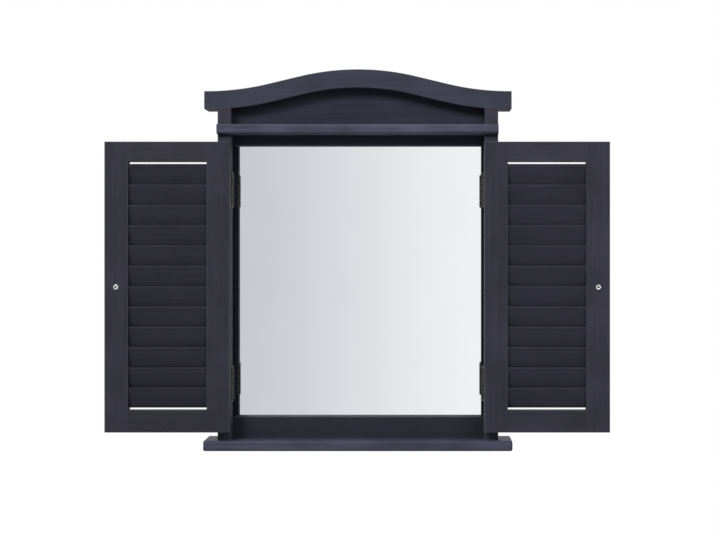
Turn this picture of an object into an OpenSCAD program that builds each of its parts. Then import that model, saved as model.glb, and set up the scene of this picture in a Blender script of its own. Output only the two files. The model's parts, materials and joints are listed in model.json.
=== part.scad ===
// Wall mirror framed as a small window: an arched crown over two stiles, a sill, and a pair
// of louvred shutters on butt hinges. The wall is the plane y = 0, the front faces -Y and
// Z is up. The shutters lie open, folded back flat over the stiles, and each is drawn shut
// and then swung open about its pin. Left and right are as seen from the front, and the
// right side mirrors the left. The origin is on the wall, midway between the two hangers.

/* [Case] */
// Width over the outer faces of the two stiles
case_w = 386; // [365:1:420]
// Depth from the wall to the fronts of the stiles and the crown
case_depth = 43; // [40:0.5:50]
// Width of a stile, seen from the front
stile_w = 18.5; // [17:0.5:22]

/* [Sill] */
// Thickness of the sill board
sill_t = 14.5; // [11:0.5:18]
// How far the sill runs past each stile
sill_overhang = 19.5; // [8:0.5:25]
// How far the sill stands in front of the stiles
sill_nose = 8; // [4:0.5:14]
// Radius of the sill's front corners, seen from above
sill_corner_r = 6; // [3:0.5:12]
// Radius of the sill's rounded edges
sill_edge_r = 3.5; // [1:0.5:5]

/* [Crown] */
// How far each tip of the crown runs past its stile
crown_overhang = 18.5; // [8:0.5:25]
// Rise of the crown's middle over its tips
crown_rise = 30; // [24:1:38]
// Thickness of the bent band
crown_t = 25; // [20:1:30]
// Radius of the top of the crown's middle
crown_r = 340; // [280:10:400]
// Length of the straight stretch between the middle and each sweep
crown_straight = 46; // [20:1:70]
// Length of the level stretch at each tip
crown_level = 3; // [2:0.5:8]
// Radius of the corners of each tip
crown_tip_r = 1.5; // [0.5:0.25:3]
// Height of the crown's tips over the top of the ledge
frieze_h = 21; // [18:0.5:40]

/* [Rails and beads] */
// Thickness of the bottom rail, the crown panel and the beads
rail_t = 12; // [9:0.5:13]
// Depth of the rebate behind the rails, which takes the glass and its backing
rebate = 9; // [8:0.5:11]
// Height of the bottom rail
bottom_rail_h = 29.5; // [24:0.5:40]
// Height of the mirror that shows between the rails
sight_h = 376.5; // [360:0.5:380]
// Width of the bead beside the mirror
bead_w = 3.5; // [3:0.5:8]

/* [Ledge] */
// Thickness of the ledge under the crown
ledge_t = 13.5; // [10:0.5:16]
// Height of the ledge over the lower edge of the crown panel
ledge_lift = 14.5; // [10:0.5:16]
// How far the ledge stands in front of the stiles
ledge_nose = 12; // [8:0.5:16]
// Radius of the ledge's upper front edge
ledge_top_r = 2.5; // [1:0.5:4]
// Radius of its lower front edge
ledge_bottom_r = 5; // [2:0.5:5.5]

/* [Mirror] */
// Thickness of the mirror glass
glass_t = 3; // [2:0.5:4]
// Thickness of the backing board
backing_t = 3; // [2:0.5:3.5]
// How far the glass and the board run behind each rail
glass_lap = 12; // [6:1:20]
// Play between the glass and each stile
glass_play = 0.5; // [0.3:0.1:1]
// Number of brads in each stile
brad_count = 4; // [2:1:8]
// Diameter of a brad
brad_d = 1.2; // [1:0.1:1.4]
// Length of a brad, half of it in the wood
brad_l = 14; // [10:1:18]

/* [Dowels] */
// Diameter of a dowel
dowel_d = 6; // [5:0.5:7]
// Length of a dowel
dowel_l = 24; // [20:1:26]
// Distance of the upright dowels from the back and the front of a stile
dowel_inset = 7; // [5:0.5:8]
// Depth of the dowels in the sill
sill_dowel_depth = 8; // [6:0.5:10]

/* [Shutters] */
// Gap between the sill and a shutter
shutter_lift = 13.2; // [10:0.2:16]
// Gap between a shutter and the ledge
shutter_drop = 11.4; // [6:0.2:14]
// Thickness of a shutter
shutter_t = 16; // [15:0.5:18]
// Width of a shutter's stiles
shutter_stile_w = 32; // [28:0.5:38]
// Height of a shutter's top rail
shutter_top_rail_h = 27.5; // [22:0.5:34]
// Height of a shutter's bottom rail
shutter_bottom_rail_h = 30; // [22:0.5:36]
// Gap between the two shutters when they are shut
middle_gap = 2; // [1:0.5:4]
// Length of the rails' tenons
tenon_l = 10; // [8:1:16]
// Thickness of the rails' tenons
tenon_t = 6; // [4:0.5:8]
// Width of the shoulder above and below a tenon
tenon_shoulder = 4; // [3:0.5:6]

/* [Louvres] */
// Number of slats in a shutter
slat_count = 12; // [10:1:12]
// Width of a slat across its rounded edges
slat_w = 29.6; // [26:0.2:31]
// Thickness of a slat
slat_t = 4; // [3:0.5:4.5]
// Lean of a slat from upright
slat_lean = 17; // [12:1:20]
// Gap between a rail and the nearest slat
slat_end_gap = 2.7; // [2:0.1:5]
// Depth of the slots that house a slat's ends
slat_housing = 5; // [3:0.5:8]

/* [Hinges] */
// Height of a hinge
hinge_h = 45; // [38:1:50]
// Height of a hinge's middle above or below its end of the shutter
hinge_inset = 65; // [50:1:90]
// Thickness of a hinge leaf
leaf_t = 1.5; // [1.2:0.1:1.8]
// Gap between the two leaves of a shut hinge
leaf_gap = 1; // [0.8:0.1:1.4]
// Width of a leaf, back from the fronts of the stiles
leaf_w = 11; // [10:0.5:13]
// Distance of the pin in front of the stiles
pin_lead = 3.1; // [3.1:0.1:4]
// Diameter of the barrel
barrel_d = 5.5; // [4.8:0.1:5.5]
// Diameter of the pin
pin_d = 2.4; // [2:0.1:2.8]
// Diameter of the pin's riveted ends
pin_head_d = 4; // [3.4:0.1:4.6]
// Number of knuckles in a barrel, an odd number
knuckle_count = 5; // [3:2:7]
// Distance between the two screws of a leaf
leaf_screw_spacing = 31; // [26:1:34]

/* [Screws] */
// Diameter of the small countersunk screws
screw_d = 2.4; // [2:0.1:2.8]
// Diameter of their heads
screw_head_d = 4.8; // [4.2:0.1:5.2]
// Height of their heads
screw_head_h = 1.2; // [0.8:0.1:1.2]
// Length of their shanks under the head
screw_l = 11; // [8:0.5:12]
// Width of the cross recess in a head
cross_w = 0.7; // [0.5:0.1:1]

/* [Knobs] */
// Diameter of a knob
knob_d = 22; // [16:1:26]
// Height of a knob in front of its shutter
knob_l = 18; // [16:1:24]
// Diameter of a knob's foot
knob_foot_d = 14; // [11:0.5:15]
// Diameter of a knob's neck
knob_neck_d = 9; // [7:0.5:10]
// Diameter of the screw that holds a knob
knob_screw_d = 4; // [3:0.5:5]
// Diameter of that screw's pan head
pan_d = 8; // [6.5:0.5:9]
// Height of that screw's pan head
pan_h = 2.6; // [2:0.1:3]
// Width of the cross recess in that head
pan_cross_w = 1.2; // [0.8:0.1:1.6]
// Length of that recess across its arms
pan_cross_span = 4.4; // [3:0.2:4.8]
// Depth of that recess
pan_cross_depth = 1.6; // [1:0.1:1.8]
// Depth of that screw in the knob
knob_screw_bite = 10; // [8:0.5:12]

/* [Hangers] */
// Depth of the keyholes' round entries below the crown's tips
hanger_drop = 38.5; // [38:0.5:60]
// Width of a hanger plate
hanger_w = 14; // [13:0.5:15]
// Length of a hanger plate
hanger_l = 45; // [42:1:50]
// Thickness of a hanger plate
hanger_t = 1.5; // [1:0.25:2]
// Diameter of the round entry that passes a wall screw's head
entry_d = 9; // [8:0.5:9.5]
// Width of the slot that takes a wall screw's shank
slot_w = 5; // [4.5:0.25:5.5]
// Climb from the entry to the head of the slot
slot_climb = 9; // [7:0.5:11]
// Distance from an entry to the lower end of its plate
entry_from_end = 16; // [15:0.5:18]
// Distance of a hanger's screws from the ends of the plate
hanger_screw_inset = 5; // [4:0.5:6]
// Length of their shanks, short enough to stop behind the dowels
hanger_screw_l = 8; // [6:0.5:9]
// Width of the pocket for the wall screw's head
pocket_w = 12; // [11:0.5:12.5]
// Depth of that pocket behind the plate
pocket_depth = 9; // [6:0.5:10]

/* [Fits] */
// Clearance round tenons and let-in plates
joint_fit = 0.1; // [0.05:0.05:0.2]
// Clearance round a slat's end in its slot
slat_fit = 0.15; // [0.1:0.05:0.3]
// Running clearance of a pin in the case's knuckles
pin_fit = 0.06; // [0.03:0.01:0.1]
// Clearance of screws, brads and dowels in their holes
drill_fit = 0.05; // [0.02:0.01:0.1]
// Gap between neighbouring knuckles
knuckle_gap = 0.35; // [0.3:0.05:0.6]

/* [Hidden] */
$fn = 64;
arc_fn = 720;
// Lap of an arc over the straight that it touches, so that the two cross and leave no step
tangent_lap = 0.002;
two_sides = ["left", "right"];
case_nodes = [
    "left_stile", "right_stile", "crown_arch", "crown_panel", "crown_ledge", "bottom_rail",
    "sill", "left_bead", "right_bead", "mirror_glass", "backing_board", "backing_brads",
    "hanger_plates", "hanger_screws", "left_case_leaves", "right_case_leaves",
    "case_leaf_screws", "case_dowels"
];
shutter_pieces = [
    "outer_stile", "hinge_stile", "top_rail", "bottom_rail", "knob", "knob_screw",
    "shutter_leaves", "hinge_pins", "leaf_screws"
];
function slat_name(side, i) = str(side, i < 10 ? "_slat_0" : "_slat_", i);

paint = [0.23, 0.23, 0.27];
bronze = [0.24, 0.20, 0.15];
zinc = [0.72, 0.73, 0.75];

// Faces of the case, measured from its middle, the wall and the underside of the sill
opening_w = case_w - 2 * stile_w;
case_side = case_w / 2;
opening_side = opening_w / 2;
stile_mid = (case_side + opening_side) / 2;
stile_front = -case_depth;
rail_back = -rebate;
rail_front = rail_back - rail_t;
glass_back = rail_back + glass_t;
board_back = glass_back + backing_t;
sight_z0 = sill_t + bottom_rail_h;
sight_z1 = sight_z0 + sight_h;
ledge_z0 = sight_z1 + ledge_lift;
ledge_z1 = ledge_z0 + ledge_t;
tip_z = ledge_z1 + frieze_h;
hanger_z = tip_z - hanger_drop;

// The crown's top line: a convex middle, a straight tangent and a hollow sweep to each tip
crown_side = case_side + crown_overhang;
sweep_x = crown_side - crown_level;
radii_sum = (pow(sweep_x, 2) + pow(crown_rise, 2) - pow(crown_straight, 2)) / (2 * crown_rise);
sweep_r = radii_sum - crown_r;
crown_slope = atan2(sweep_x, radii_sum - crown_rise) - atan2(crown_straight, radii_sum);
crown_top_z = tip_z + crown_t;
middle_centre_z = crown_top_z + crown_rise - crown_r;
sweep_centre_z = crown_top_z + sweep_r;

// Places of a shutter, shut, on the left side
side_gap = leaf_t + leaf_gap;
shutter_w = opening_side - side_gap - middle_gap / 2;
hinge_edge = -opening_side + side_gap;
meeting_edge = -middle_gap / 2;
shutter_z0 = sill_t + shutter_lift;
shutter_z1 = ledge_z0 - shutter_drop;
shutter_back = stile_front + shutter_t;
shutter_mid_y = stile_front + shutter_t / 2;
window_x0 = hinge_edge + shutter_stile_w;
window_x1 = meeting_edge - shutter_stile_w;
window_z0 = shutter_z0 + shutter_bottom_rail_h;
window_z1 = shutter_z1 - shutter_top_rail_h;

// Louvre spacing: the stack of slats fills the window between its end gaps
slat_rise = (slat_w - slat_t) * cos(slat_lean) + slat_t;
slat_pitch = (window_z1 - window_z0 - 2 * slat_end_gap - slat_rise) / (slat_count - 1);
function slat_z(i) = window_z1 - slat_end_gap - slat_rise / 2 - (i - 1) * slat_pitch;

// Places of the hinges
pin_x = -opening_side + leaf_t + leaf_gap / 2;
pin_y = stile_front - pin_lead;
hinge_heights = [shutter_z0 + hinge_inset, shutter_z1 - hinge_inset];
knuckle_pitch = (hinge_h + knuckle_gap) / knuckle_count;
leaf_screw_y = stile_front + leaf_w / 2;
knob_x = meeting_edge - shutter_stile_w / 2;
knob_z = (shutter_z0 + shutter_z1) / 2;

// Places of the brads and the dowels
brad_y = board_back + brad_d / 2 + drill_fit;
glass_z0 = sight_z0 - glass_lap;
glass_z1 = sight_z1 + glass_lap;
brad_pitch = (glass_z1 - glass_z0) / brad_count;
rail_mid_y = (rail_front + rail_back) / 2;
panel_dowel_heights = [ledge_z0, ledge_z1 + dowel_d];
rail_dowel_heights = [sill_t + bottom_rail_h / 4, sill_t + bottom_rail_h * 3 / 4];
stile_dowel_places = [dowel_inset, case_depth - dowel_inset];

// A block between two faces on each axis
module slab(x, y, z) {
    translate([x[0], y[0], z[0]])
        cube([x[1] - x[0], y[1] - y[0], z[1] - z[0]]);
}

// A flat shape on the wall, thickened towards the front
module from_wall(depth) {
    rotate([90, 0, 0])
        linear_extrude(depth)
            children();
}

// A profile across depth and height, drawn out from x0 to x1
module along_x(x0, x1) {
    translate([x0, 0, 0])
        rotate([90, 0, 90])
            linear_extrude(x1 - x0)
                children();
}

// A strip with round ends, standing upright on its middle
module strip(w, l) {
    translate([-w / 2, -(l - w) / 2])
        square([w, l - w]);
    for (end = [-1, 1])
        translate([0, end * (l - w) / 2])
            circle(d = w);
}

// A rectangle from the origin with all four corners rounded
module rounded(w, h, r) {
    translate([r, 0])
        square([w - 2 * r, h]);
    translate([0, r])
        square([w, h - 2 * r]);
    for (x = [r, w - r])
        for (y = [r, h - r])
            translate([x, y])
                circle(r);
}

module mirrored() {
    mirror([1, 0, 0])
        children();
}

module both_sides() {
    children();
    mirrored()
        children();
}

// A shut left shutter swung back on its pins until it lies flat over the stile
module swung_open() {
    translate([pin_x, pin_y, 0])
        rotate([0, 0, 180])
            translate([-pin_x, -pin_y, 0])
                children();
}

// Heights are drawn from the underside of the sill, and the origin is between the hangers
module hung() {
    translate([0, 0, -hanger_z])
        children();
}

module left_leaf() {
    hung()
        swung_open()
            children();
}

module right_leaf() {
    hung()
        mirrored()
            swung_open()
                children();
}

// Countersunk screw pointing down, its head flush with z = 0; grow makes its hole
module countersunk(grow = 0, l = screw_l) {
    translate([0, 0, -screw_head_h])
        cylinder(h = screw_head_h, d1 = screw_d + 2 * grow, d2 = screw_head_d + 2 * grow);
    translate([0, 0, -screw_head_h - l - grow])
        cylinder(h = l + grow + screw_head_h / 2, d = screw_d + 2 * grow);
}

module cross_recess(depth, span, w = cross_w) {
    for (turn = [0, 90])
        rotate([0, 0, turn])
            slab([-span / 2, span / 2], [-w / 2, w / 2], [-depth, depth]);
}

module countersunk_screw(l = screw_l) {
    difference() {
        countersunk(0, l);
        cross_recess(screw_head_h / 2, screw_head_d / 2);
    }
}

// ---- The crown ----

// A flat outline given by its right half, from a point on the middle line round to the floor
module both_halves(half) {
    last = len(half) - 1;
    polygon(concat(half, [for (i = [last:-1:1]) [-half[i][0], half[i][1]]]));
}

// All that lies under the crown's line when the line is lowered by drop: a gable whose
// ridge is rounded off by the middle's circle and whose feet are hollowed by the sweeps'
module under_crown(drop, floor_z) {
    middle_r = crown_r - drop;
    hollow_r = sweep_r + drop;
    level_z = crown_top_z - drop;
    bend_x = middle_r * sin(crown_slope);
    bend_z = middle_centre_z + middle_r * cos(crown_slope);
    ridge_z = bend_z + bend_x * tan(crown_slope);
    hollow_x = sweep_x - hollow_r * sin(crown_slope);
    hollow_z = sweep_centre_z - hollow_r * cos(crown_slope);
    difference() {
        both_halves([
            [0, ridge_z], [hollow_x, hollow_z], [sweep_x, level_z],
            [crown_side + drop, level_z], [crown_side + drop, floor_z]
        ]);
        difference() {
            translate([-bend_x, bend_z - drop - 1])
                square([2 * bend_x, ridge_z - bend_z + drop + 2]);
            translate([0, middle_centre_z])
                circle(middle_r + tangent_lap, $fn = arc_fn);
        }
        for (x = [-sweep_x, sweep_x])
            translate([x, sweep_centre_z])
                circle(hollow_r + tangent_lap, $fn = arc_fn);
    }
}

// The bent band: what lies between the crown's line and the same line one thickness lower
module crown_arch() {
    color(paint)
        difference() {
            from_wall(case_depth)
                intersection() {
                    difference() {
                        under_crown(0, tip_z - 1);
                        under_crown(crown_t, tip_z - 2);
                    }
                    union() {
                        translate([-crown_side, tip_z])
                            rounded(2 * crown_side, crown_t, crown_tip_r);
                        translate([-sweep_x, tip_z - 1])
                            square([2 * sweep_x, crown_rise + crown_t + 2]);
                    }
                }
            stile_dowels(drill_fit);
        }
}

// The board behind the arch, cut to the underside of the band
module crown_panel() {
    color(paint)
        difference() {
            translate([0, rail_back, 0])
                from_wall(rail_t)
                    intersection() {
                        under_crown(crown_t, 0);
                        translate([-opening_side, sight_z1])
                            square([opening_w, crown_top_z + crown_rise - sight_z1]);
                    }
            rail_dowels(drill_fit);
        }
}

// The ledge's section from its front face back to the crown panel, its front edges rounded
module ledge_section() {
    back = case_depth + ledge_nose + rail_front;
    flat_top = ledge_t - ledge_top_r;
    translate([0, ledge_bottom_r])
        square([back, flat_top - ledge_bottom_r]);
    translate([ledge_top_r, ledge_bottom_r])
        square([back - ledge_top_r, ledge_t - ledge_bottom_r]);
    translate([ledge_bottom_r, 0])
        square([back - ledge_bottom_r, flat_top]);
    translate([ledge_top_r, flat_top])
        circle(ledge_top_r);
    translate([ledge_bottom_r, ledge_bottom_r])
        circle(ledge_bottom_r);
}

// The ledge: a shelf with an ear over the front of each stile
module crown_ledge() {
    color(paint)
        difference() {
            along_x(-case_side, case_side)
                translate([stile_front - ledge_nose, ledge_z0])
                    ledge_section();
            both_sides()
                slab(
                    [-case_side - 1, -opening_side],
                    [stile_front, 0],
                    [ledge_z0 - 1, ledge_z1 + 1]
                );
        }
}

// ---- The case ----

module bottom_rail() {
    color(paint)
        difference() {
            slab([-opening_side, opening_side], [rail_front, rail_back], [sill_t, sight_z0]);
            rail_dowels(drill_fit);
        }
}

module bead() {
    color(paint)
        slab([-opening_side, -opening_side + bead_w], [rail_front, rail_back], [sight_z0, sight_z1]);
}

// The sill: rounded in plan at its front corners, and along its front and end edges
module sill() {
    sill_side = case_side + sill_overhang;
    sill_depth = case_depth + sill_nose;
    color(paint)
        difference() {
            intersection() {
                translate([-sill_side, -sill_depth, 0])
                    linear_extrude(sill_t)
                        rounded(2 * sill_side, 2 * sill_depth, sill_corner_r);
                along_x(-sill_side, sill_side)
                    translate([-sill_depth, 0])
                        rounded(2 * sill_depth, sill_t, sill_edge_r);
                translate([-sill_side, 0, 0])
                    from_wall(sill_depth)
                        rounded(2 * sill_side, sill_t, sill_edge_r);
            }
            stile_dowels(drill_fit);
        }
}

module stile() {
    color(paint)
        difference() {
            from_wall(case_depth)
                intersection() {
                    under_crown(crown_t, 0);
                    translate([-case_side, sill_t])
                        square([stile_w, crown_top_z - sill_t]);
                }
            hanger_recess();
            stile_dowels(drill_fit);
            rail_dowels(drill_fit);
            brads(drill_fit);
            case_leaf_places()
                countersunk(drill_fit);
        }
}

// ---- The mirror and what holds it ----

module pane(y0, y1) {
    side = opening_side - glass_play;
    slab([-side, side], [y0, y1], [glass_z0, glass_z1]);
}

module mirror_glass() {
    color("lightsteelblue")
        pane(rail_back, glass_back);
}

module backing_board() {
    color("peru")
        pane(glass_back, board_back);
}

module brads(grow = 0) {
    both_sides()
        for (i = [0:brad_count - 1])
            translate([-opening_side, brad_y, glass_z0 + (i + 0.5) * brad_pitch])
                rotate([0, 90, 0])
                    translate([0, 0, -grow])
                        cylinder(h = brad_l + 2 * grow, d = brad_d + 2 * grow, center = true);
}

module backing_brads() {
    color(zinc)
        brads();
}

// Upright dowels that join each stile to the sill below and to the crown above
module stile_dowels(grow = 0) {
    both_sides()
        for (depth = stile_dowel_places)
            for (z = [sill_t - sill_dowel_depth, tip_z - dowel_l / 2])
                translate([-stile_mid, -depth, z - grow])
                    cylinder(h = dowel_l + 2 * grow, d = dowel_d + 2 * grow);
}

// Level dowels that join the bottom rail and the crown panel to the stiles
module rail_dowels(grow = 0) {
    both_sides()
        for (z = concat(rail_dowel_heights, panel_dowel_heights))
            translate([-opening_side, rail_mid_y, z])
                rotate([0, 90, 0])
                    cylinder(h = dowel_l + 2 * grow, d = dowel_d + 2 * grow, center = true);
}

module case_dowels() {
    color("burlywood") {
        stile_dowels();
        rail_dowels();
    }
}

// ---- The hangers ----

// Places of a hanger plate's two screws, measured up from the round entry
hanger_screw_heights = [
    hanger_screw_inset - entry_from_end,
    hanger_l - entry_from_end - hanger_screw_inset
];

module at_hanger() {
    translate([-stile_mid, 0, hanger_z])
        children();
}

module plate_outline(grow = 0) {
    translate([0, hanger_l / 2 - entry_from_end])
        strip(hanger_w + 2 * grow, hanger_l + 2 * grow);
}

module keyhole() {
    circle(d = entry_d);
    translate([0, slot_climb / 2])
        strip(slot_w, slot_climb + slot_w);
}

module hanger_screw_places() {
    for (z = hanger_screw_heights)
        translate([0, 0, z])
            rotate([-90, 0, 0])
                children();
}

module hanger_recess() {
    at_hanger() {
        from_wall(hanger_t)
            plate_outline(joint_fit);
        from_wall(hanger_t + pocket_depth)
            translate([0, slot_climb / 2])
                strip(pocket_w, slot_climb + pocket_w);
        hanger_screw_places()
            countersunk(drill_fit, hanger_screw_l);
    }
}

module hanger_plate() {
    at_hanger()
        difference() {
            from_wall(hanger_t)
                difference() {
                    plate_outline();
                    keyhole();
                }
            hanger_screw_places()
                countersunk(drill_fit, hanger_screw_l);
        }
}

module hanger_plates() {
    color(zinc)
        both_sides()
            hanger_plate();
}

module hanger_screws() {
    color(zinc)
        both_sides()
            at_hanger()
                hanger_screw_places()
                    countersunk_screw(hanger_screw_l);
}

// ---- The hinges, drawn shut ----

// Knuckles counted up from the bottom of the barrel, and the fingers that hold them
module knuckles(first, finger_x, bore_d) {
    for (i = [first:2:knuckle_count - 1]) {
        z0 = i * knuckle_pitch - hinge_h / 2;
        z1 = z0 + knuckle_pitch - knuckle_gap;
        difference() {
            union() {
                translate([pin_x, pin_y, z0])
                    cylinder(h = z1 - z0, d = barrel_d);
                slab(finger_x, [pin_y, stile_front], [z0, z1]);
            }
            translate([pin_x, pin_y, z0 - 1])
                cylinder(h = z1 - z0 + 2, d = bore_d);
        }
    }
}

module leaf_plate(x) {
    slab(x, [stile_front, stile_front + leaf_w], [-hinge_h / 2, hinge_h / 2]);
}

module at_hinges() {
    for (z = hinge_heights)
        translate([0, 0, z])
            children();
}

module leaf_screw_pair(x, turn) {
    for (end = [-1, 1])
        translate([x, leaf_screw_y, end * leaf_screw_spacing / 2])
            rotate([0, turn, 0])
                children();
}

module case_leaf_places() {
    at_hinges()
        leaf_screw_pair(-opening_side + leaf_t, 90)
            children();
}

module shutter_leaf_places() {
    at_hinges()
        leaf_screw_pair(hinge_edge, -90)
            children();
}

// The leaves on the stile's inner face, with the outer and the middle knuckles
module case_leaves() {
    leaf_x = [-opening_side, -opening_side + leaf_t];
    color(bronze)
        difference() {
            at_hinges() {
                leaf_plate(leaf_x);
                knuckles(0, leaf_x, pin_d + 2 * pin_fit);
            }
            case_leaf_places()
                countersunk(drill_fit);
        }
}

// The leaves let into the shutter's edge, with the knuckles between
module shutter_leaves() {
    leaf_x = [hinge_edge, hinge_edge + leaf_t];
    color(bronze)
        difference() {
            at_hinges() {
                leaf_plate(leaf_x);
                knuckles(1, leaf_x, pin_d + 2 * drill_fit);
            }
            shutter_leaf_places()
                countersunk(drill_fit);
        }
}

module hinge_pins() {
    reach = hinge_h / 2 + knuckle_gap;
    head_h = pin_head_d / 4;
    color(bronze)
        at_hinges()
            translate([pin_x, pin_y, 0]) {
                cylinder(h = 2 * reach + head_h, d = pin_d, center = true);
                for (side = [-1, 1])
                    translate([0, 0, side * (reach + head_h / 2)])
                        cylinder(h = head_h, d = pin_head_d, center = true);
            }
}

module case_leaf_screws() {
    color(bronze)
        both_sides()
            case_leaf_places()
                countersunk_screw();
}

module leaf_screws() {
    color(bronze)
        shutter_leaf_places()
            countersunk_screw();
}

// ---- A shutter, drawn shut on the left side ----

module slat_profile(grow = 0) {
    rotate(-slat_lean)
        strip(slat_t + 2 * grow, slat_w + 2 * grow);
}

// Slat number i from the top: its upper edge leans back, its lower edge to the front
module slat(i) {
    reach = slat_housing - slat_fit;
    color(paint)
        along_x(window_x0 - reach, window_x1 + reach)
            translate([shutter_mid_y, slat_z(i)])
                slat_profile();
}

module slat_slots() {
    for (i = [1:slat_count])
        along_x(window_x0 - slat_housing, window_x1 + slat_housing)
            translate([shutter_mid_y, slat_z(i)])
                slat_profile(slat_fit);
}

module tenons(z0, z1, grow = 0) {
    slab(
        [window_x0 - tenon_l - grow, window_x1 + tenon_l + grow],
        [shutter_mid_y - tenon_t / 2 - grow, shutter_mid_y + tenon_t / 2 + grow],
        [z0 + tenon_shoulder - grow, z1 - tenon_shoulder + grow]
    );
}

module shutter_stile(x) {
    difference() {
        slab(x, [stile_front, shutter_back], [shutter_z0, shutter_z1]);
        slat_slots();
        tenons(shutter_z0, window_z0, joint_fit);
        tenons(window_z1, shutter_z1, joint_fit);
    }
}

module hinge_stile() {
    color(paint)
        difference() {
            shutter_stile([hinge_edge, window_x0]);
            at_hinges()
                slab(
                    [hinge_edge - 1, hinge_edge + leaf_t],
                    [stile_front - 1, stile_front + leaf_w + joint_fit],
                    [-hinge_h / 2 - joint_fit, hinge_h / 2 + joint_fit]
                );
            shutter_leaf_places()
                countersunk(drill_fit);
        }
}

module outer_stile() {
    color(paint)
        difference() {
            shutter_stile([window_x1, meeting_edge]);
            at_knob()
                cylinder(h = 3 * shutter_t, d = knob_screw_d + 2 * drill_fit, center = true);
        }
}

module shutter_rail(z0, z1) {
    color(paint) {
        slab([window_x0, window_x1], [stile_front, shutter_back], [z0, z1]);
        tenons(z0, z1);
    }
}

module top_rail() {
    shutter_rail(window_z1, shutter_z1);
}

module shutter_bottom_rail() {
    shutter_rail(shutter_z0, window_z0);
}

// ---- The knob, its axis pointing to the front ----

module at_knob() {
    translate([knob_x, stile_front, knob_z])
        rotate([90, 0, 0])
            children();
}

// A turned knob: a foot, a waist and a cushion-shaped head
module knob() {
    rim_r = (knob_l - knob_neck_d / 2) / 3;
    color(paint)
        at_knob()
            difference() {
                rotate_extrude() {
                    square([knob_foot_d / 2, knob_l / 9]);
                    square([knob_neck_d / 2, knob_l - rim_r]);
                    translate([0, knob_l - 2 * rim_r])
                        square([knob_d / 2 - rim_r, 2 * rim_r]);
                    translate([knob_d / 2 - rim_r, knob_l - rim_r])
                        circle(rim_r);
                }
                translate([0, 0, -1])
                    cylinder(h = knob_screw_bite + 1 + drill_fit, d = knob_screw_d + 2 * drill_fit);
            }
}

// A pan-head screw through the outer stile, its head on the shutter's inner face
module knob_screw() {
    color(zinc)
        at_knob()
            difference() {
                union() {
                    translate([0, 0, -shutter_t])
                        cylinder(h = shutter_t + knob_screw_bite, d = knob_screw_d);
                    translate([0, 0, -shutter_t - pan_h / 2])
                        cylinder(h = pan_h / 2, d = pan_d);
                    translate([0, 0, -shutter_t - pan_h])
                        cylinder(h = pan_h / 2, d1 = pan_d * 3 / 4, d2 = pan_d);
                }
                translate([0, 0, -shutter_t - pan_h])
                    cross_recess(pan_cross_depth, pan_cross_span, pan_cross_w);
            }
}

hung() stile();  // left_stile
hung() mirrored() stile();  // right_stile
hung() crown_arch();
hung() crown_panel();
hung() crown_ledge();
hung() bottom_rail();
hung() sill();
hung() bead();  // left_bead
hung() mirrored() bead();  // right_bead
hung() mirror_glass();
hung() backing_board();
hung() backing_brads();
hung() hanger_plates();
hung() hanger_screws();
hung() case_leaves();  // left_case_leaves
hung() mirrored() case_leaves();  // right_case_leaves
hung() case_leaf_screws();
hung() case_dowels();
left_leaf() outer_stile();  // left_outer_stile
left_leaf() hinge_stile();  // left_hinge_stile
left_leaf() top_rail();  // left_top_rail
left_leaf() shutter_bottom_rail();  // left_bottom_rail
left_leaf() knob();  // left_knob
left_leaf() knob_screw();  // left_knob_screw
left_leaf() shutter_leaves();  // left_shutter_leaves
left_leaf() hinge_pins();  // left_hinge_pins
left_leaf() leaf_screws();  // left_leaf_screws
right_leaf() outer_stile();  // right_outer_stile
right_leaf() hinge_stile();  // right_hinge_stile
right_leaf() top_rail();  // right_top_rail
right_leaf() shutter_bottom_rail();  // right_bottom_rail
right_leaf() knob();  // right_knob
right_leaf() knob_screw();  // right_knob_screw
right_leaf() shutter_leaves();  // right_shutter_leaves
right_leaf() hinge_pins();  // right_hinge_pins
right_leaf() leaf_screws();  // right_leaf_screws
for (i = [1:slat_count])
    left_leaf() slat(i);
for (i = [1:slat_count])
    right_leaf() slat(i);
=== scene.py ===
# %% [markdown]
# # Dressing a shutter mirror
# The object is a small wall mirror made like a window: two upright stiles, a sill, a crown with
# a bent band over it, and a pair of louvred shutters folded back on butt hinges. Its exact solids
# were drawn in CAD. This lesson gives them the looks of the real thing: eased wooden edges, satin
# anthracite paint with the grain showing through, silvered glass, dark bronze hinges and bright
# screws. The CAD model comes in first, as a frame that nothing here may move.

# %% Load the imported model
import json
import math

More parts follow.
